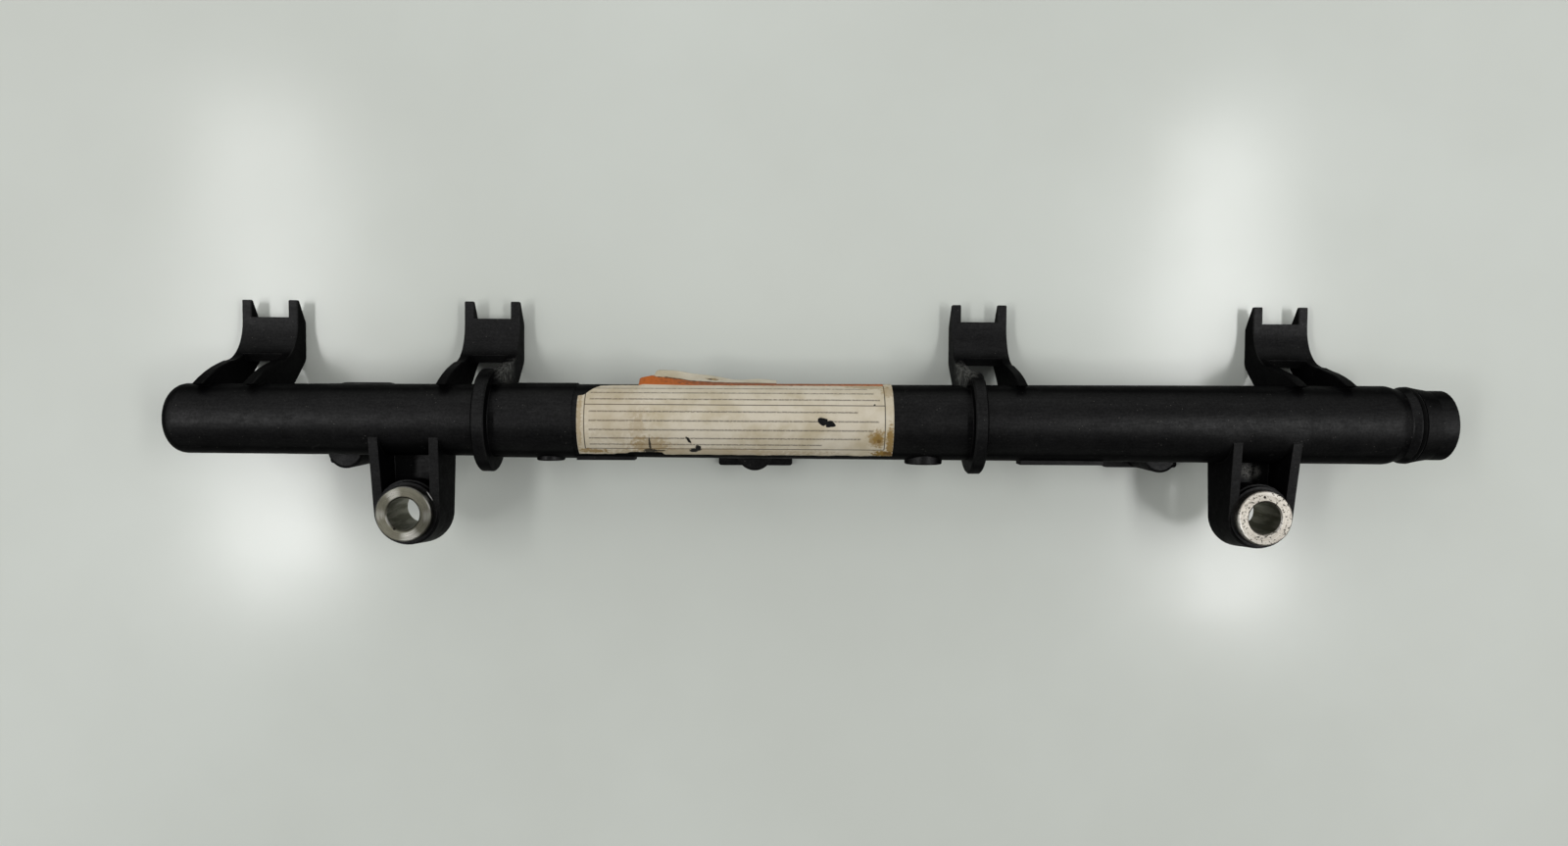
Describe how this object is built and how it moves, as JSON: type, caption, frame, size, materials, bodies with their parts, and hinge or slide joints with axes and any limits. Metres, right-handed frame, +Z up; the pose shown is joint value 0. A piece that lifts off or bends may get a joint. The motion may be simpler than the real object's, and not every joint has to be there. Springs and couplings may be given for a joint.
{
  "type": "fuel rail",
  "caption": "Moulded plastic fuel rail for a three-cylinder engine, with injector sockets, bolt brackets with metal bushes, harness forks and a ringed inlet spigot.",
  "frame": {"origin": "mouth centre of the middle injector socket, on the plane that the sockets stand on", "axes": "+X along the rail towards the inlet spigot, +Y towards the harness forks, +Z up from the injector mouths to the tube"},
  "size_m": [0.3313, 0.0653, 0.0399],
  "materials": {
    "body_plastic": "satin black glass-filled nylon, dusty and scratched",
    "bush_steel": "turned, dull and pitted",
    "seal_rubber": "matt black rubber",
    "label_paper": "aged paper, torn and stained"
  },
  "bodies": {
    "root": {"rail_body": "body_plastic", "left_bush": "bush_steel", "right_bush": "bush_steel", "seal_ring": "seal_rubber", "paper_label": "label_paper"}
  },
  "joints": []
}
